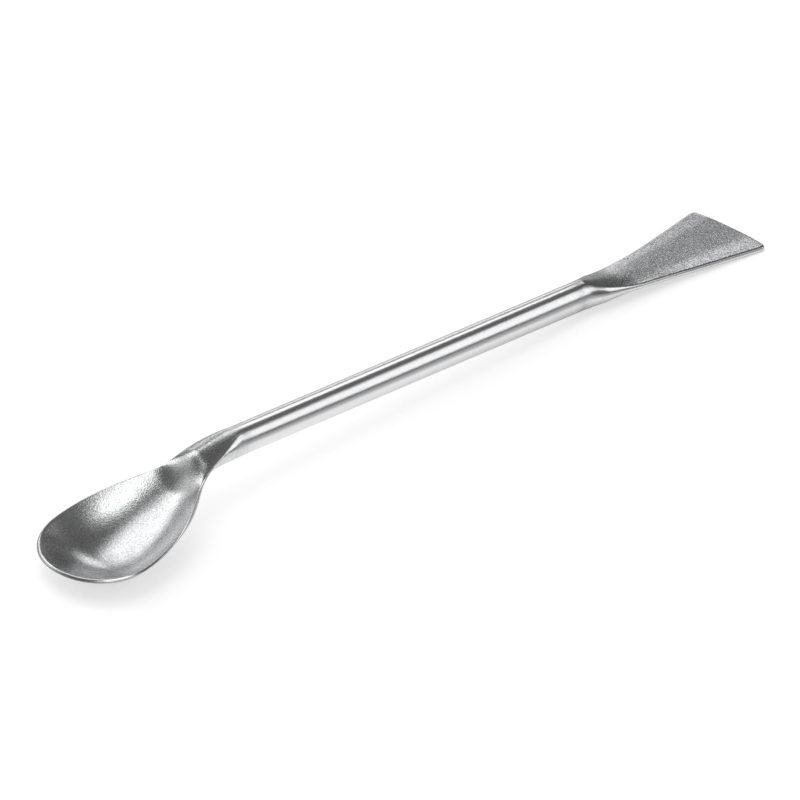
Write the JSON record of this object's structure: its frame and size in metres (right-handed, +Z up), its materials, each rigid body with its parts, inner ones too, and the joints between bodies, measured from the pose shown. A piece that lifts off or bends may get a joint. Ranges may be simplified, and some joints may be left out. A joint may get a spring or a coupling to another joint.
{
  "type": "lab spatula",
  "caption": "One-piece steel lab spatula: round bar handle with a deep egg-shaped spoon bowl at one end and a thin flared flat blade at the other.",
  "frame": {"origin": "middle of the bounding box in plan, on the surface the spatula lies on", "axes": "+X along the bar from the spoon bowl to the blade, +Z up as the spatula lies at rest, Y across the bowl and the blade"},
  "size_m": [0.177, 0.0274, 0.016],
  "materials": {
    "steel": "satin"
  },
  "bodies": {
    "root": {"spatula": "steel"}
  },
  "joints": []
}
